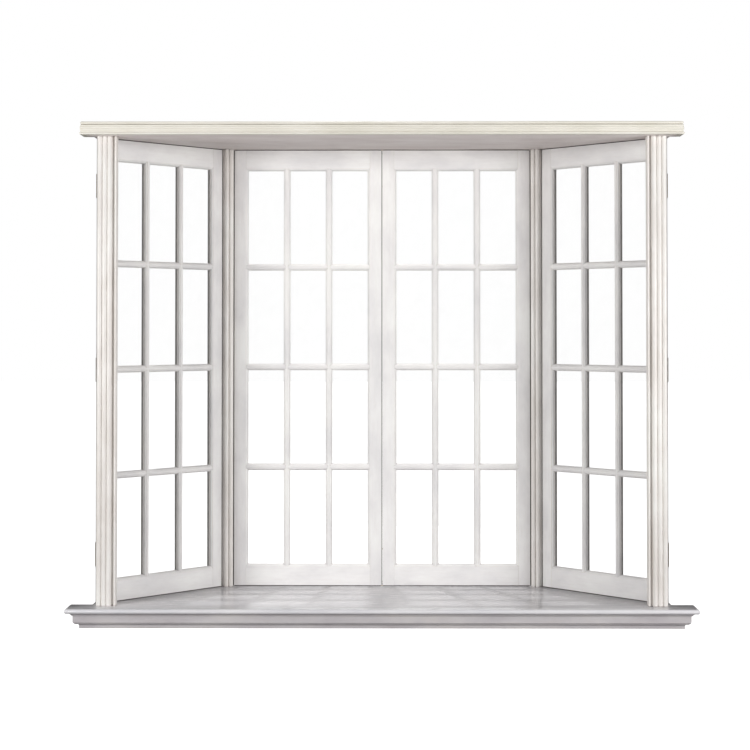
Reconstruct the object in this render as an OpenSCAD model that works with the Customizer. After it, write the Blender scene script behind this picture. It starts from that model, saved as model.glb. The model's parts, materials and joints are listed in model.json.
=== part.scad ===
// Timber bay window: a pair of centre casements, a flanking casement on each side,
// reeded corner mullions and casings, a moulded head and a window seat.
// Millimetres. +X to the right seen from the room, +Y out of doors, +Z up.
// The origin is the middle of the bounding box's underside.

/* [Sashes] */
// Width of each of the four sashes
sash_w = 600; // [598:0.5:602]
// Height of each sash
sash_h = 1770; // [1500:1:2000]
// Thickness of the sash members
sash_t = 35; // [32:1:40]
// Width of a stile, with its moulded edge
stile_w = 56.8; // [50:0.1:70]
// Width of the top rail, with its moulded edge
top_rail_w = 84.1; // [70:0.1:110]
// Width of the bottom rail, with its moulded edge
bottom_rail_w = 86.3; // [70:0.1:130]
// Width of a glazing bar
bar_w = 27; // [24:0.5:32]
// Panes across a sash
pane_cols = 3; // [2:1:4]
// Panes up a sash
pane_rows = 4; // [2:1:5]

/* [Bay] */
// Half the width of the centre light, to where its face meets the flanking face
corner_x = 631; // [628:0.5:634]
// Angle of the flanking lights to the centre light, in degrees
bay_angle = 47; // [46:0.5:48]
// Room-side face of the wall, measured from the centre sashes' face
wall_y = -483; // [-490:1:-480]
// How far the frame runs out of doors from the sashes' inner face
frame_out = 80; // [60:1:110]

/* [Head, seat and casings] */
// Height of the moulded head
head_h = 50; // [40:1:80]
// Front of the head moulding
head_front_y = -578; // [-620:1:-560]
// Half the length of the head moulding
head_half_w = 1138; // [1130:1:1180]
// Front of the seat's nosing
seat_front_y = -602; // [-700:1:-595]
// Half the length of the seat
seat_half_w = 1185; // [1170:1:1230]
// Thickness of the seat board and of its round nosing
seat_t = 18; // [14:1:24]
// Height of the moulding and bearers under the seat board
plinth_h = 60; // [60:1:80]
// Width of a front casing
casing_w = 75; // [74:0.5:80]
// Outer edge of a casing, from the middle of the bay
casing_x = 1079; // [1070:1:1090]
// How far a casing stands into the room
casing_d = 45; // [40:1:50]

/* [Hardware] */
// Length of a butt hinge
hinge_l = 90; // [75:1:110]
// Radius of a hinge pin
hinge_pin_r = 3; // [2.5:0.1:3.5]
// Outer radius of a hinge knuckle
knuckle_r = 5; // [4.5:0.1:5.5]
// Radius of a flush bolt
bolt_r = 4; // [3:0.1:4.2]
// Length of a flush bolt
bolt_l = 150; // [120:1:200]
// Radius of the wall fixing holes in the outer jambs
fixing_r = 4; // [3:0.5:6]
// Distance between the two wall fixings of a jamb
fixing_span = 1400; // [1000:10:1600]

/* [Hidden] */
$fn = 48;
// clearances
hinge_gap = 4;
meeting_gap = 4;
sill_gap = 3;
running = 0.05;
knuckle_gap = 0.3;
// moulded edge of the sash members: quirk, quarter round, fillet, glazing rebate
quirk = 1.5;
ovolo_r = 8;
stick_w = 9.5;
stick_d = 16;
land_d = 6.5;
glass_t = 3;
glass_gap = 1.5;
joint = 0.1;
putty_d = 14;
putty_w = 8.5;
over = 1;
// glazing layout
fillet = (bar_w - 2 * stick_w) / 2;
stile_flat = stile_w - stick_w;
top_flat = top_rail_w - stick_w;
bottom_flat = bottom_rail_w - stick_w;
pane_w = (sash_w - 2 * stile_w - (pane_cols - 1) * bar_w) / pane_cols;
pane_h = (sash_h - top_rail_w - bottom_rail_w - (pane_rows - 1) * bar_w) / pane_rows;
bar_x = [for (i = [1 : pane_cols - 1]) stile_w + i * (pane_w + bar_w) - bar_w / 2];
bar_z = [for (i = [1 : pane_rows - 1]) bottom_rail_w + i * (pane_h + bar_w) - bar_w / 2];
// the member edges that a cross bar or a pane lies between
left_of = [for (i = [0 : pane_cols - 1]) i == 0 ? stile_flat : bar_x[i - 1] + fillet];
right_of = [for (i = [0 : pane_cols - 1]) i == pane_cols - 1 ? sash_w - stile_flat : bar_x[i] - fillet];
under_of = [for (i = [0 : pane_rows - 1]) i == 0 ? bottom_flat : bar_z[i - 1] + fillet];
over_of = [for (i = [0 : pane_rows - 1]) i == pane_rows - 1 ? sash_h - top_flat : bar_z[i] - fillet];
// heights, from the sash's foot
seat_top = -sill_gap;
head_under = sash_h + sill_gap;
head_board_t = 20;
base_z = seat_top - seat_t - plinth_h;
// the part's own frame
shift_y = -(seat_front_y + frame_out) / 2;
shift_z = -base_z;
// plan of the bay: s runs along a flanking face from the corner, t out of doors
near_s = corner_x - sash_w - meeting_gap / 2;
far_s = near_s + sash_w;
across = cos(bay_angle);
deep = sin(bay_angle);
function plan(s, t) = [corner_x + s * across + t * deep, t * across - s * deep];
// where the line t out from the flanking face crosses x
function line_at(x, t) = [x, t * across - (x - corner_x - t * deep) * tan(bay_angle)];
jamb_wood = 12;
end_x = plan(far_s + hinge_gap + jamb_wood, sash_t)[0];
out_corner = [corner_x + frame_out * tan(bay_angle / 2), frame_out];
bearer_in = 20;
in_corner = [corner_x + bearer_in * tan(bay_angle / 2), bearer_in];
bearer_end = 25;
stop_w = 38;
face_gap = 1;
fixing_in = 13;
// mouldings
nosing_d = 30;
bed_in = 12;
bed_d = 62;
fascia_d = 24;
bearer_w = 45;
cross_bearer_x = 400;
// hinges
leaf_t = 2.5;
leaf_w = 26;
knuckle_air = 0.2;
knuckle_room_w = 6;
axis_x = -hinge_gap / 2;
axis_y = sash_t + knuckle_r + knuckle_air;
knuckles = 5;
knuckle_l = hinge_l / knuckles;
hinge_in = 180;
hinge_z = [hinge_in, sash_h / 2, sash_h - hinge_in];
screw_r = 2.2;
screw_span = 30;
pin_head_r = 4.6;
pin_head_l = 2;
// flush bolts
bolt_inset = 9;
bolt_y = sash_t / 2;
bolt_bore_r = bolt_r + 0.5;
bolt_travel = 12;
bolt_air = 8;
bolt_back = 1;
plate_w = 18;
plate_l = 152;
plate_t = 2.5;
thumb_w = 6;
thumb_l = 16;
thumb_at = 110;
thumb_air = 0.5;
thumb_over = 2;
thumb_sunk = 0.4;
plate_screw_r = 1.7;
plate_screws = [12, plate_l - 6];
keeper_l = 30;
keeper_w = 22;
keeper_t = 2;
keeper_hole_r = bolt_r + 1;
keeper_depth = 16;

SASHES = ["left_flank", "left_centre", "right_centre", "right_flank"];
MEMBERS = ["hinge_stile", "free_stile", "top_rail", "bottom_rail", "glazing_bars",
    "panes", "putty", "hinge_leaves", "bolt_plates", "top_bolt", "bottom_bolt"];

paint = "ivory";
brass = "goldenrod";

// Puts bay coordinates into the part's frame
module placed() {
    translate([0, shift_y, shift_z]) children();
}

// Draws its children on the left and mirrored on the right
module both_sides() {
    children();
    mirror([1, 0, 0]) children();
}

// Puts a sash-local piece where sash s hangs: x from the hinged edge, y out of doors
module hung(s) {
    flank = s == "left_flank" || s == "right_flank";
    right = s == "right_centre" || s == "right_flank";
    at = flank ? plan(far_s, 0) : [sash_w + meeting_gap / 2, 0];
    mirror([right ? 1 : 0, 0, 0])
        translate([-at[0], at[1], 0])
            rotate([0, 0, flank ? bay_angle : 0])
                children();
}

// ---- sash members -------------------------------------------------------------

// Section of a member's moulded edge: x inwards from the flat, y from the room face
module sticking() {
    translate([-over, stick_d - land_d]) square([stick_w + over, land_d]);
    intersection() {
        translate([0, quirk + ovolo_r]) circle(ovolo_r);
        translate([-over, 0]) square([stick_w + over, quirk + ovolo_r]);
    }
}

// Section of a stile or rail whose flat is f wide
module edge_section(f) {
    square([f, sash_t]);
    intersection() {
        translate([f, 0]) sticking();
        translate([f - over, 0]) square([stick_w + over, sash_t]);
    }
}

// Section of a glazing bar
module bar_section() {
    translate([-fillet, 0]) square([2 * fillet, sash_t]);
    translate([fillet, 0]) sticking();
    mirror([1, 0]) translate([fillet, 0]) sticking();
}

// Extrudes an x-y section up from z = 0
module upright(l) {
    linear_extrude(l) children();
}

// Extrudes a section along x, with the section's x turned up
module level(l) {
    translate([l, 0, 0]) rotate([0, -90, 0]) linear_extrude(l) children();
}

// Extrudes an x-z outline through the sash's thickness
module through() {
    translate([0, sash_t + over, 0]) rotate([90, 0, 0]) linear_extrude(sash_t + 2 * over) children();
}

// Notch for a crossing bar, in an edge that runs up the list: a is the flat, d the way out
function notch_up(a, d, z) = [
    [a + d * stick_w, z - fillet - stick_w],
    [a, z - fillet],
    [a, z + fillet],
    [a + d * stick_w, z + fillet + stick_w]];

// The same points with x and z exchanged
function turned(p) = [for (q = p) [q[1], q[0]]];

// Front outline of a stile, mitred to the rails and cross bars
module stile_outline() {
    edge = concat(
        [[stile_flat, -over], [stile_flat, bottom_flat], [stile_w, bottom_rail_w]],
        [for (z = bar_z) for (p = notch_up(stile_flat, 1, z)) p],
        [[stile_w, sash_h - top_rail_w], [stile_flat, sash_h - top_flat], [stile_flat, sash_h + over]]);
    polygon(concat(edge, [[-over, sash_h + over], [-over, -over]]));
}

// Front outline of a rail, measured up from its outer edge
module rail_outline(flat, w) {
    edge = concat(
        [[stile_flat, -over], [stile_flat, flat], [stile_w, w]],
        [for (x = bar_x) for (p = turned(notch_up(flat, 1, x))) p],
        [[sash_w - stile_w, w], [sash_w - stile_flat, flat], [sash_w - stile_flat, -over]]);
    polygon(edge);
}

// Front outline of the upright glazing bar at x
module upright_bar_outline(x) {
    right = concat(
        [[x + fillet, bottom_flat], [x + fillet + stick_w, bottom_rail_w]],
        [for (z = bar_z) for (p = notch_up(x + fillet, 1, z)) p],
        [[x + fillet + stick_w, sash_h - top_rail_w], [x + fillet, sash_h - top_flat]]);
    left = [for (i = [len(right) - 1 : -1 : 0]) [2 * x - right[i][0], right[i][1]]];
    polygon(concat(right, left));
}

// Front outline of a cross bar at height z between two flats
module cross_bar_outline(a, b, z) {
    ends = notch_up(a, 1, z);
    polygon(concat(ends, [for (i = [3 : -1 : 0]) [b + a - ends[i][0], ends[i][1]]]));
}

module stile_blank() {
    intersection() {
        upright(sash_h) edge_section(stile_flat);
        through() stile_outline();
    }
}

module rail_blank(flat, w) {
    intersection() {
        level(sash_w) edge_section(flat);
        through() rail_outline(flat, w);
    }
}

module hinge_stile(s) {
    color(paint) placed() hung(s) difference() {
        stile_blank();
        for (z = hinge_z)
            translate([-over, sash_t - leaf_w, z - hinge_l / 2])
                cube([leaf_t + over, leaf_w + over, hinge_l]);
    }
}

// Slot d deep that the thumb piece of a flush bolt slides in
module thumb_slot(d) {
    translate([0, bolt_y - thumb_w / 2 - thumb_air, thumb_at - thumb_l / 2 - bolt_travel - thumb_over])
        cube([d, thumb_w + 2 * thumb_air, thumb_l + 2 * bolt_travel + 2 * thumb_over]);
}

// Room that a flush bolt and its plate need in the free stile, from the stile's end
module bolt_room() {
    translate([sash_w - bolt_inset, bolt_y, -over])
        cylinder(h = bolt_l + bolt_travel + bolt_air, r = bolt_bore_r);
    translate([sash_w - plate_t, bolt_y - plate_w / 2, -over]) cube([plate_t + over, plate_w, plate_l + over]);
    translate([sash_w - bolt_inset, 0, 0]) thumb_slot(bolt_inset);
}

module free_stile(s) {
    color(paint) placed() hung(s) difference() {
        translate([sash_w, 0, 0]) mirror([1, 0, 0]) stile_blank();
        bolt_room();
        translate([0, 0, sash_h]) mirror([0, 0, 1]) bolt_room();
    }
}

module top_rail(s) {
    color(paint) placed() hung(s)
        translate([0, 0, sash_h]) mirror([0, 0, 1]) rail_blank(top_flat, top_rail_w);
}

module bottom_rail(s) {
    color(paint) placed() hung(s) rail_blank(bottom_flat, bottom_rail_w);
}

module upright_bar(x) {
    intersection() {
        translate([x, 0, 0]) upright(sash_h) bar_section();
        through() upright_bar_outline(x);
    }
}

module cross_bar(a, b, z) {
    intersection() {
        translate([0, 0, z]) level(sash_w) bar_section();
        through() cross_bar_outline(a, b, z);
    }
}

module glazing_bars(s) {
    color(paint) placed() hung(s) {
        for (x = bar_x) upright_bar(x);
        for (i = [0 : pane_cols - 1]) for (z = bar_z)
            cross_bar(left_of[i] + joint, right_of[i] - joint, z);
    }
}

module panes(s) {
    color("lightcyan", 0.3) placed() hung(s)
        for (i = [0 : pane_cols - 1]) for (j = [0 : pane_rows - 1])
            translate([left_of[i] + glass_gap, stick_d, under_of[j] + glass_gap])
                cube([right_of[i] - left_of[i] - 2 * glass_gap, glass_t,
                    over_of[j] - under_of[j] - 2 * glass_gap]);
}

// Putty along the foot of a rebate w long: a mitred triangular fillet behind the glass
module putty_leg(w) {
    intersection() {
        level(w) polygon([[0, stick_d + glass_t], [putty_w, stick_d + glass_t], [0, stick_d + glass_t + putty_d]]);
        through() polygon([[0, -over], [0, 0], [putty_w + over, putty_w + over],
            [w - putty_w - over, putty_w + over], [w, 0], [w, -over]]);
    }
}

// Putty round one pane whose rebate is w by h
module putty_ring(w, h) {
    putty_leg(w);
    translate([0, 0, h]) mirror([0, 0, 1]) putty_leg(w);
    rotate([0, -90, 0]) mirror([0, 0, 1]) putty_leg(h);
    translate([w, 0, 0]) rotate([0, -90, 0]) putty_leg(h);
}

module putty(s) {
    color("whitesmoke") placed() hung(s)
        for (i = [0 : pane_cols - 1]) for (j = [0 : pane_rows - 1])
            translate([left_of[i], 0, under_of[j]])
                putty_ring(right_of[i] - left_of[i], over_of[j] - under_of[j]);
}

// ---- hinges and bolts -----------------------------------------------------------

// The leaf and knuckles of one hinge: side 1 on the sash, -1 on the frame
module leaf(side) {
    first = side > 0 ? 1 : 0;
    face_x = side > 0 ? 0 : -hinge_gap - leaf_t;
    difference() {
        union() {
            translate([face_x, sash_t - leaf_w, -hinge_l / 2]) cube([leaf_t, leaf_w, hinge_l]);
            for (i = [first : 2 : knuckles - 1]) {
                z0 = -hinge_l / 2 + i * knuckle_l + knuckle_gap / 2;
                translate([axis_x, axis_y, z0]) cylinder(h = knuckle_l - knuckle_gap, r = knuckle_r);
                translate([face_x, sash_t - over, z0])
                    cube([leaf_t, axis_y - sash_t + over, knuckle_l - knuckle_gap]);
            }
        }
        translate([axis_x, axis_y, -hinge_l]) cylinder(h = 2 * hinge_l, r = hinge_pin_r + running);
        for (z = [-screw_span, 0, screw_span])
            translate([face_x - over, sash_t - leaf_w / 2, z])
                rotate([0, 90, 0]) cylinder(h = leaf_t + 2 * over, r = screw_r);
    }
}

module hinge_leaves(s) {
    color(brass) placed() hung(s) for (z = hinge_z) translate([0, 0, z]) leaf(1);
}

module frame_hinge_leaves() {
    color(brass) placed() for (s = SASHES) hung(s) for (z = hinge_z) translate([0, 0, z]) leaf(-1);
}

module hinge_pins() {
    color("darkgoldenrod") placed() for (s = SASHES) hung(s) for (z = hinge_z)
        translate([axis_x, axis_y, z - hinge_l / 2]) {
            cylinder(h = hinge_l, r = hinge_pin_r);
            translate([0, 0, hinge_l]) cylinder(h = pin_head_l, r = pin_head_r);
            translate([0, 0, -pin_head_l]) cylinder(h = pin_head_l, r = pin_head_r);
        }
}

// Face plate of a flush bolt, with the slot that its thumb piece slides in
module bolt_plate() {
    difference() {
        translate([sash_w - plate_t, bolt_y - plate_w / 2, 0]) cube([plate_t, plate_w, plate_l]);
        translate([sash_w - plate_t - over, 0, 0]) thumb_slot(plate_t + 2 * over);
        for (z = plate_screws)
            translate([sash_w - plate_t - over, bolt_y, z])
                rotate([0, 90, 0]) cylinder(h = plate_t + 2 * over, r = plate_screw_r);
    }
}

module bolt_plates(s) {
    color(brass) placed() hung(s) {
        bolt_plate();
        translate([0, 0, sash_h]) mirror([0, 0, 1]) bolt_plate();
    }
}

// A flush bolt drawn back, from the sash's foot
module flush_bolt() {
    translate([sash_w - bolt_inset, bolt_y, bolt_back]) cylinder(h = bolt_l, r = bolt_r);
    translate([sash_w - bolt_inset, bolt_y - thumb_w / 2, thumb_at - thumb_l / 2])
        cube([bolt_inset - thumb_sunk, thumb_w, thumb_l]);
}

module top_bolt(s) {
    color("gold") placed() hung(s) translate([0, 0, sash_h]) mirror([0, 0, 1]) flush_bolt();
}

module bottom_bolt(s) {
    color("gold") placed() hung(s) flush_bolt();
}

// Keeper plate over a flush bolt's hole, rising from z = 0
module keeper() {
    translate([sash_w - bolt_inset - keeper_l / 2, bolt_y - keeper_w / 2, 0])
        cube([keeper_l, keeper_w, keeper_t]);
}

module keeper_hole() {
    translate([sash_w - bolt_inset, bolt_y, -over]) cylinder(h = keeper_depth, r = keeper_hole_r);
}

module bolt_keepers() {
    color(brass) placed() for (s = SASHES) hung(s) {
        translate([0, 0, head_under]) difference() {
            keeper();
            keeper_hole();
        }
        translate([0, 0, seat_top]) mirror([0, 0, 1]) difference() {
            keeper();
            keeper_hole();
        }
    }
}

// Pockets that the keepers and bolts need in the head or seat board
module keeper_pockets() {
    for (s = SASHES) hung(s) {
        translate([sash_w - bolt_inset - keeper_l / 2, bolt_y - keeper_w / 2, -over])
            cube([keeper_l, keeper_w, keeper_t + over]);
        keeper_hole();
    }
}

// ---- seat, head and mouldings ------------------------------------------------------

// A moulding across the front that returns to the wall at both ends, mitred.
// Its section has x inwards from the front and y up.
module returned(front_y, half_w, d) {
    back = wall_y - front_y;
    intersection() {
        translate([-half_w, front_y, 0]) rotate([90, 0, 90]) linear_extrude(2 * half_w) children();
        translate([0, 0, base_z - over]) linear_extrude(head_under + head_h - base_z + 2 * over)
            polygon([[-half_w, front_y], [half_w, front_y], [half_w - d, front_y + d], [d - half_w, front_y + d]]);
    }
    both_sides() intersection() {
        translate([-half_w, wall_y, 0]) rotate([90, 0, 0]) linear_extrude(back) children();
        translate([0, 0, base_z - over]) linear_extrude(head_under + head_h - base_z + 2 * over)
            polygon([[-half_w, front_y], [d - half_w, front_y + d], [d - half_w, wall_y], [-half_w, wall_y]]);
    }
}

// Plan of a board: x to the returned moulding's back, then round the bay
module bay_plan(front_y, half_w) {
    half = [[half_w, front_y], [half_w, wall_y], [end_x, wall_y], line_at(end_x, frame_out), out_corner];
    polygon(concat(half, [for (i = [len(half) - 1 : -1 : 0]) [-half[i][0], half[i][1]]]));
}

module seat_board() {
    color(paint) placed() difference() {
        union() {
            returned(seat_front_y, seat_half_w, nosing_d) {
                translate([seat_t / 2, seat_top - seat_t / 2]) circle(d = seat_t);
                translate([seat_t / 2, seat_top - seat_t]) square([nosing_d - seat_t / 2, seat_t]);
            }
            translate([0, 0, seat_top - seat_t]) linear_extrude(seat_t)
                bay_plan(seat_front_y + nosing_d, seat_half_w - nosing_d);
        }
        translate([0, 0, seat_top]) mirror([0, 0, 1]) keeper_pockets();
    }
}

// Section of the moulding under the seat board, hung from the board's underside:
// a lip, a cove, a band with a chamfered foot, a bead, a second cove and the foot
module bed_section() {
    under = seat_top - seat_t;
    lip_h = 10;
    cove_r = 12.4;
    cove_down = 13;
    band_x = bed_in + 16;
    band_down = 40;
    clear_h = 24;
    chamfer = 8;
    bead_x = 38;
    bead_r = 4;
    bead_down = 39.5;
    foot_h = 21;
    foot_cove_r = 9.5;
    foot_cove_x = bead_x + 1.5;
    foot_cove_down = 51;
    foot_cut = [12, 11.5];
    difference() {
        union() {
            translate([band_x, under - band_down]) square([bed_d - band_x, band_down]);
            translate([bed_in, under - lip_h]) square([bed_d - bed_in, lip_h]);
        }
        translate([bed_in, under - cove_down]) circle(cove_r);
        translate([bed_in, under - lip_h - clear_h]) square([band_x - bed_in, clear_h]);
        translate([band_x, under - band_down - over]) rotate(45) square(chamfer, center = true);
    }
    translate([bead_x, under - bead_down]) circle(bead_r);
    difference() {
        translate([bead_x, under - plinth_h]) square([bed_d - bead_x, foot_h]);
        translate([foot_cove_x, under - foot_cove_down]) circle(foot_cove_r);
        translate([bead_x - over, under - plinth_h - over]) square(foot_cut);
    }
}

module bed_moulding() {
    color(paint) placed() returned(seat_front_y, seat_half_w, bed_d) bed_section();
}

// Section of the head moulding: a bead, a reeded swell and a bottom bead on a flat back
module fascia_section() {
    back_x = 9;
    bead_r = 5.7;
    bead_x = 9.4;
    bead_down = 5.8;
    reed_r = 4.8;
    reeds = [[7.8, 33.5], [6.4, 26.5], [6.6, 19.5], [8.2, 12.8]];
    foot_bead = [4.9, 4.7];
    foot_bead_r = 4.7;
    foot_up = 1;
    foot_w = 6;
    translate([back_x, head_under]) square([fascia_d - back_x, head_h]);
    translate([bead_x, head_under + head_h - bead_down]) circle(bead_r);
    for (p = reeds) translate([p[0], head_under + p[1]]) circle(reed_r);
    translate([foot_bead[0], head_under + foot_bead[1]]) circle(foot_bead_r);
    translate([foot_bead[0], head_under + foot_up]) square(foot_w);
}

module head_moulding() {
    color(paint) placed() returned(head_front_y, head_half_w, fascia_d) fascia_section();
}

module head_board() {
    color(paint) placed() difference() {
        translate([0, 0, head_under]) linear_extrude(head_board_t)
            bay_plan(head_front_y + fascia_d, head_half_w - fascia_d);
        translate([0, 0, head_under]) keeper_pockets();
    }
}

// Bearers behind a board, h high: one across the front, three round the bay, two between
module bearers(front_y, half_w, h) {
    linear_extrude(h) {
        translate([-half_w, front_y]) square([2 * half_w, wall_y - front_y - joint]);
        polygon([[-in_corner[0], in_corner[1]], in_corner, out_corner, [-out_corner[0], out_corner[1]]]);
        both_sides() translate([joint, 0])
            polygon([in_corner, out_corner, line_at(end_x - joint, frame_out),
                [end_x - joint, wall_y], [end_x - bearer_end, wall_y]]);
        both_sides() translate([cross_bearer_x, wall_y]) square([bearer_w, bearer_in - wall_y - joint]);
    }
}

module base_bearers() {
    color("burlywood") placed() translate([0, 0, base_z])
        bearers(seat_front_y + bed_d, seat_half_w - bed_d, plinth_h);
}

module head_bearers() {
    color("burlywood") placed() translate([0, 0, head_under + head_board_t])
        bearers(head_front_y + fascia_d, head_half_w - fascia_d, head_h - head_board_t);
}

// ---- casings, mullions and jambs ----------------------------------------------------

// Section of the right casing: three reeds, a quirk and a bead, from the outer edge inwards
module casing_section() {
    reed_r = 10.3;
    reeds = [10.6, 29.5, 48.4];
    bead_r = 3.6;
    bead_in = 4;
    bead_down = 8;
    back_d = casing_d - 14;
    neck_d = casing_d - 15;
    neck_h = 7;
    reed_neck = [1.5, 56];
    bead_neck = [7.2, 6.4];
    translate([casing_x, wall_y]) mirror([1, 0]) mirror([0, 1]) {
        square([casing_w, back_d]);
        translate([reed_neck[0], neck_d]) square([reed_neck[1], neck_h]);
        for (x = reeds) translate([x, casing_d - reed_r]) circle(reed_r);
        translate([casing_w - bead_neck[0], neck_d]) square([bead_neck[1], neck_h]);
        translate([casing_w - bead_in, casing_d - bead_down]) circle(bead_r);
    }
}

module casing() {
    translate([0, 0, seat_top]) linear_extrude(head_under - seat_top) casing_section();
}

module left_casing() {
    color(paint) placed() mirror([1, 0, 0]) casing();
}

module right_casing() {
    color(paint) placed() casing();
}

// Slots for the frame leaves of the hinges in the mullions and jambs
module leaf_slots() {
    for (s = ["left_flank", "left_centre"]) hung(s) for (z = hinge_z)
        translate([-hinge_gap - leaf_t, sash_t - leaf_w, z - hinge_l / 2])
            cube([leaf_t + over, leaf_w, hinge_l]);
}

// Space that the knuckles turn in, cut from a post that runs further out of doors
module knuckle_room() {
    for (s = ["left_flank", "left_centre"]) hung(s)
        translate([-hinge_gap - knuckle_room_w, sash_t, seat_top - over])
            cube([knuckle_room_w + over, frame_out, head_under - seat_top + 2 * over]);
}

// The left corner mullion: two reeds towards the room on a post between the sashes
module mullion() {
    nose = [corner_x - 7.2, -20];
    nose_side = nose + [14, -1];
    reed_r = 8.9;
    reed_off = 8.5;
    side_x = sash_w + meeting_gap / 2 + hinge_gap;
    side_y = -11;
    difference() {
        translate([0, 0, seat_top]) linear_extrude(head_under - seat_top) mirror([1, 0]) {
            translate(nose) rotate(-bay_angle / 2)
                for (x = [-reed_off, reed_off]) translate([x, 0]) circle(reed_r);
            polygon([[side_x, frame_out], [side_x, side_y], nose, nose_side,
                plan(near_s - meeting_gap, 0), plan(near_s - meeting_gap, frame_out), out_corner]);
        }
        leaf_slots();
        knuckle_room();
    }
}

module left_mullion() {
    color(paint) placed() mullion();
}

module right_mullion() {
    color(paint) placed() mirror([1, 0, 0]) mullion();
}

// The left wall jamb: rebated for the flanking sash, bevelled back behind the casing
// and drilled for the wall fixings
module jamb() {
    rebate = plan(far_s + hinge_gap, -face_gap);
    rebate_out = rebate + (end_x - rebate[0]) / deep * [deep, across];
    stop = plan(far_s - stop_w, -face_gap);
    difference() {
        translate([0, 0, seat_top]) linear_extrude(head_under - seat_top) mirror([1, 0])
            polygon([[casing_x, wall_y], rebate_out, rebate, stop, [stop[0], wall_y]]);
        leaf_slots();
        knuckle_room();
        for (z = [sash_h / 2 - fixing_span / 2, sash_h / 2 + fixing_span / 2])
            translate([-end_x - over, wall_y + fixing_in, z])
                rotate([0, 90, 0]) cylinder(h = end_x - stop[0] + 2 * over, r = fixing_r);
    }
}

module left_jamb() {
    color(paint) placed() jamb();
}

module right_jamb() {
    color(paint) placed() mirror([1, 0, 0]) jamb();
}

// ---- drawing ----------------------------------------------------------------------------

seat_board();
bed_moulding();
base_bearers();
head_board();
head_moulding();
head_bearers();
left_casing();
right_casing();
left_mullion();
right_mullion();
left_jamb();
right_jamb();
frame_hinge_leaves();
hinge_pins();
bolt_keepers();
for (s = SASHES) {
    hinge_stile(s);
    free_stile(s);
    top_rail(s);
    bottom_rail(s);
    glazing_bars(s);
    panes(s);
    putty(s);
    hinge_leaves(s);
    bolt_plates(s);
    top_bolt(s);
    bottom_bolt(s);
}
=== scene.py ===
# %% [markdown]
# # A timber bay window under old white paint
# The window is joiner's work: four casement sashes of twelve panes each, two reeded corner mullions, two
# reeded casings, a moulded head and a window seat. The CAD frame already holds every member at its true
# size, so this notebook gives the members their softened edges and their paint, adds the glass, the putty,
# the metal and the small fixings, and then sets up the studio.

# %% Load the frame
import json
import math
import bpy
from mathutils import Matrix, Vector


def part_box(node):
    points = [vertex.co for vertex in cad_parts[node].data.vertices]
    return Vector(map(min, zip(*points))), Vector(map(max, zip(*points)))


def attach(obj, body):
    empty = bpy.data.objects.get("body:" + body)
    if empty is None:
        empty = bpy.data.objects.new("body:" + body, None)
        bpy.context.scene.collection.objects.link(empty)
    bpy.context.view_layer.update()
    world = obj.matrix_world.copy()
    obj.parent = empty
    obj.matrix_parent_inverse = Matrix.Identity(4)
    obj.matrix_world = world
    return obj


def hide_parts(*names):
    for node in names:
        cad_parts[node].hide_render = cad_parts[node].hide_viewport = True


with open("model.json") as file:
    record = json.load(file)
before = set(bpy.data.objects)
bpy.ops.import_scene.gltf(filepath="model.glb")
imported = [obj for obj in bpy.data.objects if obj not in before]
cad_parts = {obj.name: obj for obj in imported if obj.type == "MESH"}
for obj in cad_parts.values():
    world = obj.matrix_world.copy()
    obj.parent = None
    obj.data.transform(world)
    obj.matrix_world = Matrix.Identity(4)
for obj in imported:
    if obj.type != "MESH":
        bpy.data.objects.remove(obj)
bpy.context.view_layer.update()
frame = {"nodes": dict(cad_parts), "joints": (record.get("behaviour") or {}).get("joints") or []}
MM = 0.001
SASHES = ("left_flank", "left_centre", "right_centre", "right_flank")

# %% [markdown]
# ## Small tools
# Blender's operators act on whatever is selected, so every step starts by selecting one object only. The
# same few lines would otherwise stand before each operator, so they are a function. Modifiers are added
# with their settings and applied at once, so that the mesh itself holds the finished shape.

# %% Select one object, and apply modifiers to it
def select_only(*objects):
    bpy.ops.object.select_all(action="DESELECT")
    for obj in objects:
        obj.select_set(True)
    bpy.context.view_layer.objects.active = objects[0]


def apply_modifier(obj, kind, **settings):
    select_only(obj)
    modifier = obj.modifiers.new(kind.title(), kind)
    for name, value in settings.items():
        setattr(modifier, name, value)
    bpy.ops.object.modifier_apply(modifier=modifier.name)


# %% Colours are picked as sRGB hex and turned linear once
def linear(hex_colour):
    values = [int(hex_colour[i:i + 2], 16) / 255 for i in (1, 3, 5)]
    return tuple(v / 12.92 if v <= 0.04045 else ((v + 0.055) / 1.055) ** 2.4 for v in values) + (1.0,)


# %% Add one shader node with its settings and its inputs, which are values or other nodes' outputs
def add(tree, kind, inputs=None, **settings):
    node = tree.nodes.new("ShaderNode" + kind)
    for name, value in settings.items():
        setattr(node, name, value)
    for name, value in (inputs or {}).items():
        if isinstance(value, bpy.types.NodeSocket):
            tree.links.new(value, node.inputs[name])
        else:
            node.inputs[name].default_value = value
    return node


# %% A colour ramp between hex colours at given places
def ramp(tree, factor, stops):
    node = add(tree, "ValToRGB", {0: factor})
    elements = node.color_ramp.elements
    while len(elements) < len(stops):
        elements.new(0.5)
    for element, (place, colour) in zip(elements, stops):
        element.position = place
        element.color = linear(colour)
    return node.outputs["Color"]


# %% An empty material with one Principled shader, whose constant values are set on its own sockets
def new_material(name, **constants):
    material = bpy.data.materials.new(name)
    material.use_nodes = True
    tree = material.node_tree
    shader = tree.nodes["Principled BSDF"]
    for socket, value in constants.items():
        shader.inputs[socket.replace("_", " ")].default_value = value
    return material, tree, shader
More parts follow.
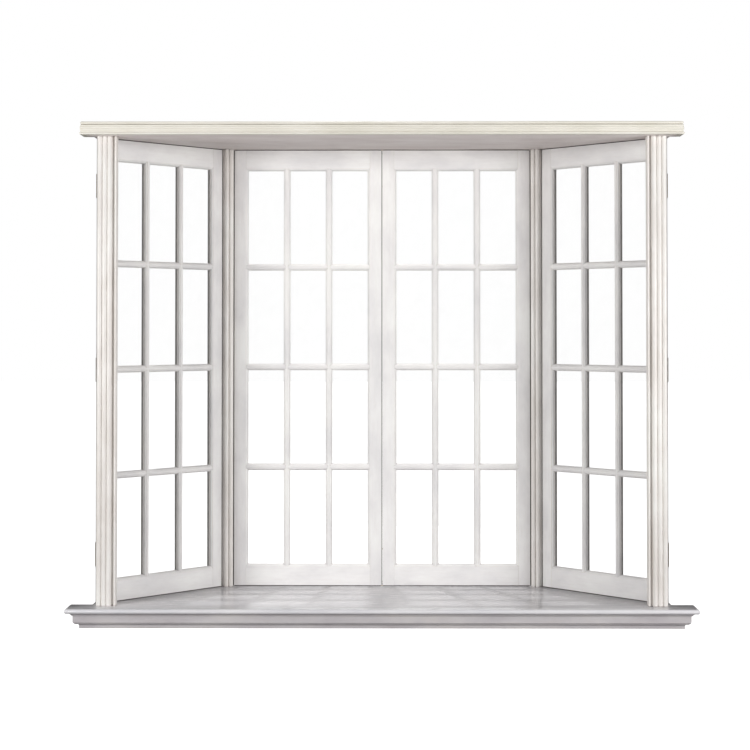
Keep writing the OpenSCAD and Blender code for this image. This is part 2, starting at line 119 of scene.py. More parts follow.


# %% [markdown]
# ## Painted softwood
# The members are softwood under many coats of white oil paint, laid off with a brush along each member.
# Seen close, the white isn't even: it is warmer and cooler in cloudy patches of 50 to 150 mm, it has faint
# streaks along the brush strokes, painted shade and settled dirt darken the quirks and inner corners, and the
# paint has worn thin on the arrises, where tan primer shows. The soffit's paint is darker and pinker, as
# painted shade and painted bounce light, and the bed moulding's paint is darker, as painted shade under the
# nosing.
# Flat white would look like plastic, so all six are built from noise on Object coordinates. A Mapping node
# turns the pattern so that the strokes follow each member.

# %% Paint recipes: three patch colours, the streak colour, the colour of the painted corner shade and grime, the worn colour, and how glossy the coat is
PAINTS = {
    "white_oil_paint": dict(patches=("#DFDAD5", "#E8E4E0", "#EEECE8"), streak="#D3C6B9", corner_shade_and_grime="#7F756D",
                            worn="#E3D6C6", rough=0.42, streaky=0.30),
    "sash_oil_paint": dict(patches=("#DEDCDC", "#E8E6E5", "#EFEEEC"), streak="#D4CEC9", corner_shade_and_grime="#7A7370",
                           worn="#E6DCCE", rough=0.44, streaky=0.26),
    # the soffit's paint is darker and pinker than the rest: painted shade on the underside, with painted
    # bounce light from the seat
    "soffit_shaded_oil_paint": dict(patches=("#D6CCC9", "#DDD4D1", "#E3DBD8"), streak="#C8BAB4", corner_shade_and_grime="#7C716C",
                             worn="#D6C9BE", rough=0.5, streaky=0.25),
    "cream_oil_paint": dict(patches=("#DAD6CA", "#E1DDD3", "#E7E4DC"), streak="#D6CDBC", corner_shade_and_grime="#948873",
                            worn="#DDD2BC", rough=0.45, streaky=0.30),
    "seat_gloss_paint": dict(patches=("#D2D1D5", "#DAD8DB", "#E0DEE0"), streak="#C2BDBA", corner_shade_and_grime="#7E7775",
                             worn="#D9CEC2", rough=0.2, streaky=0.25),
    # the bed moulding's paint is a darker grey with a near-black corner colour: painted shade under the
    # seat's nosing
    "plinth_shaded_gloss_paint": dict(patches=("#B6B1B4", "#C0BCBE", "#CAC6C6"), streak="#B5AAA4", corner_shade_and_grime="#4A4547",
                               worn="#D6CABC", rough=0.3, streaky=0.35),
}
print(len(PAINTS), "paints:", ", ".join(PAINTS))

# %% Real sizes of what the brush and the years left in the paint, and of the painted corner shade
PATCH = 110 * MM         # width of a cloudy patch of tint
PATCH_STRETCH = 2.2      # how much longer than wide it is
STREAK = 9 * MM          # real streaks are 1 to 2 mm wide, and these are drawn coarser, so that they show
STREAK_STRETCH = 14
BRISTLE = 2.2 * MM       # ridges left by the bristles, for the bump
BRISTLE_STRETCH = 30
SHADE_AND_GRIME_REACH = 9 * MM     # how far the painted shade and grime reach out of a corner
ARRIS = 2.5 * MM         # width of the worn arris
THICKEST = 0.75          # painted shade, grime and wear never hide the paint fully
print("patches, streaks and bristle marks in mm:", [round(v / MM, 1) for v in (PATCH, STREAK, BRISTLE)])


# %% Pattern coordinates in metres, with x along the member
def member_coordinates(tree, direction):
    turn = Vector((1, 0, 0)).rotation_difference(Vector(direction)).to_euler()
    place = add(tree, "TexCoord").outputs["Object"]
    return add(tree, "Mapping", {"Vector": place, "Rotation": turn}, vector_type="TEXTURE").outputs[0]


def stretched(tree, along, width, stretch):
    """Scales pattern coordinates so that a feature is width wide and stretch times as long"""
    scale = (1 / (width * stretch), 1 / width, 1 / width)
    return add(tree, "VectorMath", {0: along, 1: scale}, operation="MULTIPLY").outputs[0]


# %% Multiply, mix and remap values in a shader
def multiply(tree, a, b):
    return add(tree, "Math", {0: a, 1: b}, operation="MULTIPLY").outputs[0]


def mix(tree, factor, a, b):
    node = add(tree, "Mix", {0: factor}, data_type="RGBA")
    for socket, value in zip((node.inputs[6], node.inputs[7]), (a, b)):
        if isinstance(value, bpy.types.NodeSocket):
            tree.links.new(value, socket)
        else:
            socket.default_value = linear(value)
    return node.outputs[2]


def map_range(tree, value, low, high, to_low=0.0, to_high=1.0):
    return add(tree, "MapRange", {0: value, 1: low, 2: high, 3: to_low, 4: to_high}).outputs[0]


# %% The coat: three patch colours, with streaks along the member
PATCH_STEPS = (0.34, 0.5, 0.66)    # where on the noise the three patch colours sit
STREAK_SEEN = (0.48, 0.78)         # the part of the noise that shows as a streak


def coat_of_paint(tree, along, recipe):
    patch = add(tree, "TexNoise", {"Vector": stretched(tree, along, PATCH, PATCH_STRETCH), "Scale": 1.0,
                                   "Detail": 4.0, "Roughness": 0.6}).outputs[0]
    streak = add(tree, "TexNoise", {"Vector": stretched(tree, along, STREAK, STREAK_STRETCH), "Scale": 1.0,
                                    "Detail": 5.0, "Roughness": 0.7}).outputs[0]
    colour = ramp(tree, patch, tuple(zip(PATCH_STEPS, recipe["patches"])))
    streaks = map_range(tree, streak, *STREAK_SEEN, 0.0, recipe["streaky"])
    return mix(tree, streaks, colour, recipe["streak"]), patch, streak


# %% Painted shade and grime where two surfaces are near, and worn arrises where a rounded normal differs from the true one
SHADE_AND_GRIME_SEEN = (0.62, 0.2)                    # how open a corner is where the painted shade and grime start, and where they are thickest
SHADE_AND_GRIME_BROKEN_UP = (0.3, 0.62, 0.45, 1.0)    # the streaks' noise, and how much of the painted shade and grime it leaves
WEAR_SEEN = (0.98, 0.85)                   # how flat the edge is where wear starts, and where it is strongest
WEAR_BROKEN_UP = (0.4, 0.6)                # the part of the patches' noise where the arrises are worn


def aged_and_shaded(tree, colour, recipe, patch, streak):
    # the Ambient Occlusion darkening in corners, quirks and coves is painted shade, and partly stands for
    # settled grime
    openness = add(tree, "AmbientOcclusion", {"Distance": SHADE_AND_GRIME_REACH}, samples=4).outputs["AO"]
    shade_and_grime = map_range(tree, openness, *SHADE_AND_GRIME_SEEN, 0.0, THICKEST)
    shade_and_grime = multiply(tree, shade_and_grime, map_range(tree, streak, *SHADE_AND_GRIME_BROKEN_UP))
    colour = mix(tree, shade_and_grime, colour, recipe["corner_shade_and_grime"])
    rounded = add(tree, "Bevel", {"Radius": ARRIS}, samples=4).outputs[0]
    normal = add(tree, "NewGeometry").outputs["Normal"]
    flatness = add(tree, "VectorMath", {0: rounded, 1: normal}, operation="DOT_PRODUCT").outputs["Value"]
    wear = map_range(tree, flatness, *WEAR_SEEN, 0.0, THICKEST)
    wear = multiply(tree, wear, map_range(tree, patch, *WEAR_BROKEN_UP))
    return mix(tree, wear, colour, recipe["worn"])


# %% The surface: glossier and duller along the streaks, ridged by the bristles, and slowly wavy
SMOOTHER, ROUGHER = 0.06, 0.1      # how far the roughness goes to either side of the recipe's
STREAKS_ALL = (0.3, 0.7)           # the range of the streaks' noise
BRISTLE_RELIEF, COAT_RELIEF = 0.25 * MM, 2 * MM


def brushed_surface(tree, shader, along, recipe, patch, streak):
    bristles = add(tree, "TexNoise", {"Vector": stretched(tree, along, BRISTLE, BRISTLE_STRETCH),
                                      "Scale": 1.0, "Detail": 3.0, "Roughness": 0.6}).outputs[0]
    rough = map_range(tree, streak, *STREAKS_ALL, recipe["rough"] - SMOOTHER, recipe["rough"] + ROUGHER)
    tree.links.new(rough, shader.inputs["Roughness"])
    ridges = add(tree, "Bump", {"Height": bristles, "Strength": 0.35, "Distance": BRISTLE_RELIEF}).outputs[0]
    waves = add(tree, "Bump", {"Height": patch, "Strength": 0.3, "Distance": COAT_RELIEF, "Normal": ridges})
    tree.links.new(waves.outputs[0], shader.inputs["Normal"])


# %% Build one paint for members that run in one direction
def painted_timber(paint, direction, name):
    recipe = PAINTS[paint]
    material, tree, shader = new_material(name, Specular_IOR_Level=0.5, IOR=1.5)
    along = member_coordinates(tree, direction)
    colour, patch, streak = coat_of_paint(tree, along, recipe)
    tree.links.new(aged_and_shaded(tree, colour, recipe, patch, streak), shader.inputs["Base Color"])
    brushed_surface(tree, shader, along, recipe, patch, streak)
    return material


# %% [markdown]
# ## Bare timber
# The bearers under the seat and over the head are sawn softwood that nobody sees from the room. Softwood
# has dark latewood lines 2 to 5 mm apart along the board. A Wave texture with distortion gives those lines,
# and a noise stretched along the board gives the fibres between them.

# %% Sawn softwood along a direction
RING_BAND = 30 * MM      # gives dark lines about 7 mm apart, drawn coarser than real ones, so that they show
RING_STRETCH = 12
FIBRE = 3 * MM           # width of a bundle of fibres
FIBRE_STRETCH = 25


def sawn_softwood(direction, name):
    material, tree, shader = new_material(name, Specular_IOR_Level=0.3)
    along = member_coordinates(tree, direction)
    rings = add(tree, "TexWave", {"Vector": stretched(tree, along, RING_BAND, RING_STRETCH), "Scale": 1.4,
                                  "Distortion": 5.0, "Detail": 3.0, "Detail Scale": 1.2}, bands_direction="Y")
    fibre = add(tree, "TexNoise", {"Vector": stretched(tree, along, FIBRE, FIBRE_STRETCH), "Scale": 1.0,
                                   "Detail": 4.0}).outputs[0]
    colour = ramp(tree, rings.outputs[0], ((0.0, "#C8A36E"), (0.6, "#BD9560"), (1.0, "#98703F")))
    colour = mix(tree, map_range(tree, fibre, 0.35, 0.7, 0.0, 0.35), colour, "#8B6A42")
    tree.links.new(colour, shader.inputs["Base Color"])
    tree.links.new(map_range(tree, fibre, 0.3, 0.7, 0.62, 0.82), shader.inputs["Roughness"])
    bump = add(tree, "Bump", {"Height": fibre, "Strength": 0.5, "Distance": 0.6 * MM})
    tree.links.new(bump.outputs[0], shader.inputs["Normal"])
    return material


# %% Keep one material for each finish and direction
made = {}


def finish_for(finish, direction):
    heading = round(math.degrees(math.atan2(direction[1], direction[0]))) % 180
    way = "upright" if abs(direction[2]) > 0.7 else f"level_{heading}"
    if (finish, way) not in made:
        name = f"{finish}_{way}"
        made[finish, way] = (painted_timber(finish, direction, name) if finish in PAINTS
                             else sawn_softwood(direction, name))
    return made[finish, way]


# %% [markdown]
# ## Glass, putty, metal and rubber
# Float glass is clear and only its gloss shows. Principled transmission would stop the light of the lamps
# on its way to the seat, so the panes are a thin, almost fully transparent gloss instead, a little milkier
# where dust has dried on. The putty is chalky and knifed smooth. The hinges and bolts are brass that has
# gone dull in patches, the hinge pins are steel, and the draught strips are black-brown rubber, whose dark
# colour is also painted shade for the gaps they sit in.

# %% Float glass with dried dust
glass, tree, shader = new_material("float_glass", Base_Color=linear("#F4F8F6"), Roughness=0.04, IOR=1.52)
place = add(tree, "TexCoord").outputs["Object"]
dust = add(tree, "TexNoise", {"Vector": place, "Scale": 9.0, "Detail": 6.0, "Roughness": 0.65})
tree.links.new(map_range(tree, dust.outputs[0], 0.35, 0.75, 0.008, 0.03), shader.inputs["Alpha"])


# %% A dull coating: three colours in patches, with roughness and bump that follow the same noise
TARNISH_STEPS = (0.35, 0.5, 0.65)   # where on the noise the three colours sit


def patchy(name, patch, colours, roughness, relief, stretch=(1, 1, 1), **constants):
    material, tree, shader = new_material(name, **constants)
    place = add(tree, "TexCoord").outputs["Object"]
    scale = tuple(s / patch for s in stretch)
    sized = add(tree, "VectorMath", {0: place, 1: scale}, operation="MULTIPLY").outputs[0]
    noise = add(tree, "TexNoise", {"Vector": sized, "Scale": 1.0, "Detail": 5.0, "Roughness": 0.6}).outputs[0]
    colour = ramp(tree, noise, tuple(zip(TARNISH_STEPS, colours)))
    tree.links.new(colour, shader.inputs["Base Color"])
    rough = map_range(tree, noise, TARNISH_STEPS[0], TARNISH_STEPS[-1], *roughness)
    tree.links.new(rough, shader.inputs["Roughness"])
    bump = add(tree, "Bump", {"Height": noise, "Strength": 0.4, "Distance": relief})
    tree.links.new(bump.outputs[0], shader.inputs["Normal"])
    return material


putty = patchy("painted_linseed_putty", 14 * MM, ("#CFCAC0", "#DAD7D0", "#E2E0DB"), (0.55, 0.75), 0.5 * MM)
brass = patchy("dull_brass", 18 * MM, ("#8A6B38", "#B08D4C", "#C7A45F"), (0.5, 0.3), 0.1 * MM, Metallic=1.0)
steel = patchy("turned_steel", 3 * MM, ("#8B8A88", "#A3A2A0", "#B5B4B2"), (0.35, 0.25), 0.05 * MM,
               stretch=(1, 1, 6), Metallic=1.0)
# the near-black rubber is painted shade for the gaps round the sashes
gap_shade_rubber = patchy("gap_shade_draught_strip_rubber", 12 * MM, ("#2B2724", "#38332F", "#453F3A"), (0.6, 0.8), 0.3 * MM)
print("metal, glass, putty and rubber are ready")

# %% [markdown]
# ## The timber members
# Each CAD member has knife-sharp edges, and real timber never does: a joiner takes the arris off with one
# stroke of sandpaper, and the paint rounds it further. The CAD mesh isn't touched. A copy of it is merged,
# its flat faces are dissolved to single faces, and a small bevel rounds the edges. The bevel also draws the
# joints, because two members that meet face to face now show a fine line between them.

# %% Copy a node's mesh and clean it
SOFTENED = 0.9 * MM            # how far back the paint rounds an edge
SOFTENED_BAR = 0.7 * MM        # the same on a slender glazing bar
SOFTENED_SAWN = 1.2 * MM       # and on a sawn bearer
FLAT = math.radians(0.5)       # faces that meet at less than this are one face
SHARP = math.radians(28)       # edges sharper than this are rounded
SMOOTH = math.radians(35)      # faces that meet at less than this are shaded as one curve


def clean_copy(node):
    piece = frame["nodes"][node].copy()
    piece.data = frame["nodes"][node].data.copy()
    piece.parent = None
    for key in list(piece.keys()):
        del piece[key]
    bpy.context.scene.collection.objects.link(piece)
    select_only(piece)
    bpy.ops.object.mode_set(mode="EDIT")
    bpy.ops.mesh.select_all(action="SELECT")
    bpy.ops.mesh.remove_doubles(threshold=0.01 * MM)
    bpy.ops.mesh.dissolve_limited(angle_limit=FLAT)
    bpy.ops.object.mode_set(mode="OBJECT")
    return piece


# %% Round its edges, and shade the curved faces smooth
def soften(piece, width=SOFTENED):
    apply_modifier(piece, "BEVEL", width=width, segments=2, limit_method="ANGLE", angle_limit=SHARP,
                   use_clamp_overlap=True, harden_normals=False)
    select_only(piece)
    bpy.ops.object.shade_smooth_by_angle(angle=SMOOTH)


# %% A member's length runs along its longest edge
def length_direction(piece):
    mesh = piece.data
    spans = [mesh.vertices[e.vertices[1]].co - mesh.vertices[e.vertices[0]].co for e in mesh.edges]
    longest = max(spans, key=lambda span: span.length).normalized()
    return longest if max(longest, key=abs) > 0 else -longest


def give(piece, material):
    piece.data.materials.clear()
    piece.data.materials.append(material)


def stand_for(piece, node, body):
    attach(piece, body)
    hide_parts(node)


# %% The painted members of the fixed frame
FRAME_PAINT = {
    "seat_board": "seat_gloss_paint", "bed_moulding": "plinth_shaded_gloss_paint", "head_board": "soffit_shaded_oil_paint",
    "head_moulding": "cream_oil_paint", "left_casing": "white_oil_paint", "right_casing": "white_oil_paint",
    "left_mullion": "white_oil_paint", "right_mullion": "white_oil_paint", "left_jamb": "white_oil_paint",
    "right_jamb": "white_oil_paint",
}


def make_member(node, paint, body):
    piece = clean_copy(node)
    piece.name = node + "_painted"
    direction = length_direction(piece)
    soften(piece)
    give(piece, finish_for(paint, direction))
    stand_for(piece, node, body)
    return piece


for node, paint in FRAME_PAINT.items():
    piece = make_member(node, paint, "frame")
    print(node, len(piece.data.polygons), "faces")

# %% The stiles and rails of the four sashes
for sash in SASHES:
    for member in ("hinge_stile", "free_stile", "top_rail", "bottom_rail"):
        make_member(f"{sash}_{member}", "sash_oil_paint", f"{sash}_sash")
print("stiles and rails of", len(SASHES), "sashes")

# %% [markdown]
# ## The glazing bars and the bearers
# A sash has two upright bars and nine short cross bars, all in one CAD node. The brush followed each bar, so
# the uprights and the cross bars need differently turned paint. The copy is therefore separated into its
# loose bars, each bar gets the paint that follows its own longest edge, and the bars are joined again. The
# bearers round the bay are treated in the same way, so that the grain runs along each of them.

# %% Finish each loose piece of a node along its own length
def finish_loose(node, finish, width, body, slot):
    clean_copy(node)
    bpy.ops.object.mode_set(mode="EDIT")
    bpy.ops.mesh.select_all(action="SELECT")
    bpy.ops.mesh.separate(type="LOOSE")
    bpy.ops.object.mode_set(mode="OBJECT")
    loose = list(bpy.context.selected_objects)
    for piece in loose:
        give(piece, finish_for(finish, length_direction(piece)))
    select_only(*loose)
    bpy.ops.object.join()
    whole = bpy.context.view_layer.objects.active
    whole.name = node + "_painted" if slot == "sash_paint" else node + "_sawn"
    soften(whole, width)
    stand_for(whole, node, body)
    print(node, len(loose), "pieces", len(whole.data.polygons), "faces")


for sash in SASHES:
    finish_loose(f"{sash}_glazing_bars", "sash_oil_paint", SOFTENED_BAR, f"{sash}_sash", "sash_paint")
for node in ("base_bearers", "head_bearers"):
    finish_loose(node, "sawn_softwood", SOFTENED_SAWN, "frame", "bare_timber")

# %% [markdown]
# ## The glass, the putty and the metal
# These shapes are right as the CAD has them, so the nodes stay and only get their finishes.

# %% Finish the nodes that stay
for node, material in (("frame_hinge_leaves", brass), ("bolt_keepers", brass), ("hinge_pins", steel)):
    give(frame["nodes"][node], material)
for sash in SASHES:
    for member, material in (("panes", glass), ("putty", putty), ("hinge_leaves", brass),
                             ("bolt_plates", brass), ("top_bolt", brass), ("bottom_bolt", brass)):
        give(frame["nodes"][f"{sash}_{member}"], material)
print(len(frame["nodes"]), "CAD nodes in all")

# %% [markdown]
# ## Where things sit on a sash
# A hinge or a strip belongs to its sash, so its place is easiest to give in the sash's own measures: x from
# the hinged edge, y from the room face out of doors, z up from the sash's foot. The hinge pin of each sash
# is the one point that both the sash and the frame share, and the joints of the frame say where it is.

# %% From sash measures in millimetres to the window's frame
BAY_ANGLE = math.radians(47)
PIN_PLACE = (-2.0, 40.2)                       # the hinge pin, in sash measures
SASH_W, SASH_H = 600.0, 1770.0
pins = {joint["child"][:-len("_sash")]: Vector(joint["pos_m"])
        for joint in frame["joints"] if joint["name"].endswith("_swing")}


def on_sash(sash, x, y, z):
    side = 1 if sash.startswith("left") else -1
    turn = BAY_ANGLE if sash.endswith("flank") else 0.0
    across, out = x - PIN_PLACE[0], y - PIN_PLACE[1]
    level = (side * (across * math.cos(turn) - out * math.sin(turn)),
             across * math.sin(turn) + out * math.cos(turn), z - SASH_H / 2)
    return pins[sash] + Vector(level) * MM


def sash_heading(sash):
    turn = BAY_ANGLE if sash.endswith("flank") else 0.0
    return turn if sash.startswith("left") else -turn


# %% Place a piece, and put its place into its mesh
def settle(piece, place, rotation):
    piece.location = place
    piece.rotation_euler = rotation
    select_only(piece)
    bpy.ops.object.transform_apply(location=True, rotation=True, scale=True)


# %% [markdown]
# ## Draught strips
# A sash needs 3 to 4 mm of air all round to swing, and daylight would shine through that gap as a bright
# line. A strip of soft rubber in the gap keeps the draught and the light out, and its near-black colour is
# painted shade, which makes the gap look dark.
# Each strip starts as a cube drawn out to the strip's length, and its outer edges are bevelled round, as an
# extruded rubber section is. The strips along the foot and the top ride on their sash, and the upright ones
# are pinned to the mullions and jambs, except the one in the meeting gap of the two centre sashes.

# %% One rubber strip: its size in millimetres, its middle in sash measures
STRIP_D = 6.0        # how deep a strip is, from the room outwards
STRIP_IN = 2.0       # how far back from the sash's face it sits
STRIP_ROUND = 0.35   # how much of its thickness its rounded edges take


def draught_strip(sash, size, middle):
    bpy.ops.object.select_all(action="DESELECT")
    bpy.ops.mesh.primitive_cube_add(size=1)
    strip = bpy.context.object
    bpy.ops.object.mode_set(mode="EDIT")
    bpy.ops.transform.resize(value=tuple(v * MM for v in size))
    bpy.ops.mesh.bevel(offset=STRIP_ROUND * min(size) * MM, segments=3, affect="EDGES")
    bpy.ops.object.mode_set(mode="OBJECT")
    settle(strip, on_sash(sash, *middle), (0, 0, sash_heading(sash)))
    return strip


def join_as(name, pieces, material, body):
    select_only(*pieces)
    if len(pieces) > 1:
        bpy.ops.object.join()
    joined = bpy.context.view_layer.objects.active
    joined.name = name
    give(joined, material)
    bpy.ops.object.shade_smooth_by_angle(angle=SMOOTH)
    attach(joined, body)
    return joined


# %% How thick the strips are
SILL_GAP, SIDE_GAP = 3.0, 4.0
# what they leave of those gaps: a closing sash comes nearest to a strip at its free edge
SILL_AIR, HINGE_AIR, FREE_AIR, MEETING_AIR = 0.5, 0.3, 0.9, 1.0
sill_thick, hinge_thick = SILL_GAP - SILL_AIR, SIDE_GAP - HINGE_AIR
free_thick, meeting_thick = SIDE_GAP - FREE_AIR, SIDE_GAP - MEETING_AIR
print("strips in mm:", sill_thick, hinge_thick, free_thick, meeting_thick)

# %% Fit the strips that ride on the sashes
SHORT = 2.0              # they stop this short of the sash's corners
strip_y = STRIP_IN + STRIP_D / 2
for sash in SASHES:
    size = (SASH_W - 2 * SHORT, STRIP_D, sill_thick)
    ends = [draught_strip(sash, size, (SASH_W / 2, strip_y, z))
            for z in (-sill_thick / 2, SASH_H + sill_thick / 2)]
    join_as(f"{sash}_draught_strips", ends, gap_shade_rubber, f"{sash}_sash")
print("strips at the foot and the top of", len(SASHES), "sashes")


# %% Fit the upright strips
def upright_strip(sash, thick, x):
    return draught_strip(sash, (thick, STRIP_D, SASH_H), (x, strip_y, SASH_H / 2))


hinge_side = [upright_strip(sash, hinge_thick, -SIDE_GAP + hinge_thick / 2) for sash in SASHES]
free_side = [upright_strip(sash, free_thick, SASH_W + SIDE_GAP - free_thick / 2)
             for sash in SASHES if sash.endswith("flank")]
join_as("frame_draught_strips", hinge_side + free_side, gap_shade_rubber, "frame")
meeting_size = (meeting_thick, STRIP_D - 1, SASH_H - 2 * SHORT)
meeting_middle = (SASH_W + meeting_thick / 2, STRIP_IN + meeting_size[1] / 2, SASH_H / 2)
meeting = draught_strip("left_centre", meeting_size, meeting_middle)
join_as("meeting_draught_strip", [meeting], gap_shade_rubber, "left_centre_sash")
print(len(hinge_side + free_side) + 1, "upright strips")

# %% [markdown]
# ## Screws
# Each hinge leaf is held by three screws, each bolt plate and each keeper by two. A screw's head is turned
# from the rod and then slotted, so the model is made the same way: a cylinder whose top is inset and raised
# to a low dome, and a saw-cut taken out of it with a Boolean. It is modelled once and copied.

# %% Turn and slot one screw head, whose radius is 1, so that it can be scaled to any screw
HEAD_H = 0.3                                           # thickness of the head's rim
HEAD_MIDDLE = 0.05                                     # middle of the rim, so that it is sunk in its hole
DOME = ((0.12, 0.07), (0.25, 0.07), (0.3, 0.03))       # each step in from the rim, and up
SAW_CUT = (2.4, 0.26, 0.4)                             # length, width and height of the saw that slots it
SAW_MIDDLE = 0.35


def screw_head():
    bpy.ops.object.select_all(action="DESELECT")
    bpy.ops.mesh.primitive_cylinder_add(vertices=24, radius=1, depth=HEAD_H, location=(0, 0, HEAD_MIDDLE))
    head = bpy.context.object
    bpy.ops.object.transform_apply(location=True)
    bpy.ops.object.mode_set(mode="EDIT")
    bpy.ops.mesh.select_mode(type="FACE")
    bpy.ops.mesh.select_all(action="DESELECT")
    bpy.ops.object.mode_set(mode="OBJECT")
    top = max(head.data.polygons, key=lambda face: face.center.z)
    top.select = True
    bpy.ops.object.mode_set(mode="EDIT")
    for inset, rise in DOME:
        bpy.ops.mesh.inset(thickness=inset)
        bpy.ops.transform.translate(value=(0, 0, rise))
    bpy.ops.object.mode_set(mode="OBJECT")
    bpy.ops.object.select_all(action="DESELECT")
    bpy.ops.mesh.primitive_cube_add(size=1, location=(0, 0, SAW_MIDDLE))
    saw = bpy.context.object
    saw.scale = SAW_CUT
    bpy.ops.object.transform_apply(location=True, scale=True)
    apply_modifier(head, "BOOLEAN", operation="DIFFERENCE", object=saw, solver="EXACT")
    bpy.data.objects.remove(saw)
    return head


master = screw_head()
print("screw head:", len(master.data.polygons), "faces")


# %% Copy it to a place, with its radius in millimetres and the way it faces
def turn_about_z(angle):
    return Vector((1, 0, 0)).rotation_difference(Vector((math.cos(angle), math.sin(angle), 0)))


def screw_at(place, facing, radius, slot_turn):
    head = master.copy()
    head.data = master.data.copy()
    bpy.context.scene.collection.objects.link(head)
    head.scale = (radius * MM,) * 3
    settle(head, place, (Vector(facing).to_track_quat("Z", "Y") @ turn_about_z(slot_turn)).to_euler())
    return head


# %% Screw on the hinges, the bolt plates and the keepers
HINGES_UP = (180.0, SASH_H / 2, SASH_H - 180.0)        # heights of the hinges' middles
LEAF_SCREWS = (-30.0, 0.0, 30.0)                       # up and down from there
LEAF_MIDDLE_Y = 22.0
PLATE_SCREWS = (12.0, 146.0)                           # from the sash's foot or top
BOLT_AT = (591.0, 17.5)                                # the bolt's middle, from the hinged edge and the face
KEEPER_SCREW = 11.0                                    # from the bolt's middle
HINGE_SCREW_R, PLATE_SCREW_R, KEEPER_SCREW_R = 3.6, 2.6, 2.2
SUNK = 0.1                                             # heads sit this far below the metal
KEEPER_SUNK = 0.55
SLOT_STEP, KEEPER_SLOT_STEP = 1.9, 0.7                 # so that the slots stop at odd angles
KEEPERS = ((-SILL_GAP - KEEPER_SUNK, (0, 0, 1)), (SASH_H + SILL_GAP + KEEPER_SUNK, (0, 0, -1)))
frame_screws = []
count = 0
for sash in SASHES:
    outwards = (on_sash(sash, 1, 0, 0) - on_sash(sash, 0, 0, 0)).normalized()
    sash_screws = []
    for z in HINGES_UP:
        for step in LEAF_SCREWS:
            count += 1
            turn = SLOT_STEP * count
            on_leaf = on_sash(sash, SUNK, LEAF_MIDDLE_Y, z + step)
            on_frame = on_sash(sash, -SIDE_GAP - SUNK, LEAF_MIDDLE_Y, z + step)
            sash_screws.append(screw_at(on_leaf, -outwards, HINGE_SCREW_R, turn))
            frame_screws.append(screw_at(on_frame, outwards, HINGE_SCREW_R, turn + 1))
    for z in PLATE_SCREWS + tuple(SASH_H - z for z in PLATE_SCREWS):
        count += 1
        on_plate = on_sash(sash, SASH_W - SUNK, BOLT_AT[1], z)
        sash_screws.append(screw_at(on_plate, outwards, PLATE_SCREW_R, SLOT_STEP * count))
    for x in (BOLT_AT[0] - KEEPER_SCREW, BOLT_AT[0] + KEEPER_SCREW):
        # the two centre sashes share a keeper, which has one screw on each sash's side
        if sash.endswith("centre") and x > BOLT_AT[0]:
            continue
        for z, facing in KEEPERS:
            on_keeper = on_sash(sash, x, BOLT_AT[1], z)
            frame_screws.append(screw_at(on_keeper, facing, KEEPER_SCREW_R, KEEPER_SLOT_STEP * x))
    join_as(f"{sash}_screws", sash_screws, brass, f"{sash}_sash")
join_as("frame_screws", frame_screws, brass, "frame")
bpy.data.objects.remove(master)
print(len(frame_screws), "screws in the frame, and", count, "in the sashes")

# %% [markdown]
# ## The studio
# The window stands on a white floor in front of a white backdrop that is lit until it has no tone of its
# own. A hard lamp high up outside throws the shadows of the bars through the glass on the seat, and a wide
# soft one stands in the garden. Two lamps far apart in the room light the faces from the sides, so that the
# sides of the glazing bars turn grey, and a weak one by the right wall lifts the members that face it.

# %% The floor
bpy.ops.object.select_all(action="DESELECT")
bpy.ops.mesh.primitive_plane_add(size=60, location=(0, 0, 0))
floor = bpy.context.object
floor.name = "studio_floor"
floor_paint, tree, shader = new_material("white_studio_floor", Base_Color=linear("#BCBCBC"), Roughness=0.9)
seen = add(tree, "LightPath").outputs["Is Camera Ray"]
tree.links.new(seen, shader.inputs["Emission Strength"])
shader.inputs["Emission Color"].default_value = (1, 1, 1, 1)
give(floor, floor_paint)
print(floor.name)

# %% The backdrop: white where the camera looks, dimmer as a source of light
world = bpy.data.worlds.new("white_backdrop")
bpy.context.scene.world = world
world.use_nodes = True
tree = world.node_tree
back = tree.nodes["Background"]
back.inputs["Color"].default_value = (1, 1, 1, 1)
AMBIENT = 0.262   # how bright the backdrop is as a source of light
seen = add(tree, "LightPath").outputs["Is Camera Ray"]
tree.links.new(map_range(tree, seen, 0.0, 1.0, AMBIENT, 1.0), back.inputs["Strength"])
print(world.name)


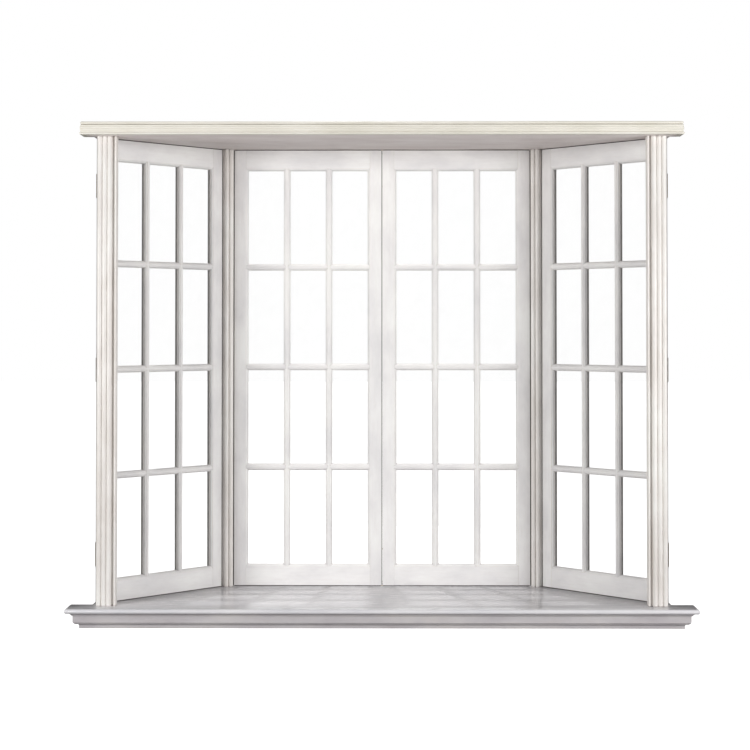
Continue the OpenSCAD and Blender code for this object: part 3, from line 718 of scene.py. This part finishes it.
# %% The lamps
def lamp(name, place, towards, size, watts):
    light = bpy.data.lights.new(name, "AREA")
    light.shape = "DISK"
    light.size = size
    light.energy = watts
    obj = bpy.data.objects.new(name, light)
    obj.location = place
    obj.rotation_euler = (Vector(towards) - Vector(place)).to_track_quat("-Z", "Y").to_euler()
    obj.visible_camera = False
    bpy.context.scene.collection.objects.link(obj)
    print(name, watts, "W")


seat_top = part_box("seat_board")[1].z
lamp("outdoor_lamp", (-0.085, 1.38, seat_top + 4.95), (0, 0, seat_top), 0.12, 75)
lamp("garden_lamp", (0, 3.2, 0.9), (0, 0, 1.2), 2.0, 12)
lamp("left_room_lamp", (-5.0, -4.6, 1.8), (0, 0, 0.9), 1.6, 255)
lamp("right_room_lamp", (5.0, -4.6, 1.8), (0, 0, 0.9), 1.6, 228)
lamp("right_wall_lamp", (5.0, -2.6, 1.6), (0, 0, 0.9), 1.6, 36)

# %% Dark flags beside the window stand for the wall, and keep the side light off the outdoor side
FLAG_W = 3.0
black_cloth = new_material("black_flag_cloth", Base_Color=linear("#2A2A2A"), Roughness=0.9)[0]
jamb_low, jamb_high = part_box("right_jamb")
flag_h = jamb_high.z - jamb_low.z
for side in (-1, 1):
    bpy.ops.object.select_all(action="DESELECT")
    middle = (side * (jamb_high.x + FLAG_W / 2), jamb_low.y, (jamb_low.z + jamb_high.z) / 2)
    bpy.ops.mesh.primitive_plane_add(size=1, location=middle, rotation=(math.pi / 2, 0, 0))
    flag = bpy.context.object
    flag.scale = (FLAG_W, flag_h, 1)
    flag.name = "left_flag" if side < 0 else "right_flag"
    flag.visible_camera = False
    give(flag, black_cloth)
    print(flag.name)

# %% [markdown]
# ## The camera
# The window is seen from the middle of the room at the height of a standing eye. A long lens keeps the
# uprights parallel, and a small vertical shift of the lens frames the window.

# %% The camera
camera_data = bpy.data.cameras.new("camera")
camera_data.sensor_width = 36
camera_data.lens = 84.6
camera_data.shift_y = -0.1136
camera_data.clip_end = 200
camera = bpy.data.objects.new("camera", camera_data)
camera.location = (0.0201, -6.9238, 1.127)
camera.rotation_euler = (math.radians(91.234), 0, math.radians(0.389))
bpy.context.scene.collection.objects.link(camera)
bpy.context.scene.camera = camera
bpy.context.scene.view_settings.view_transform = "Standard"
print("camera at", tuple(camera.location))
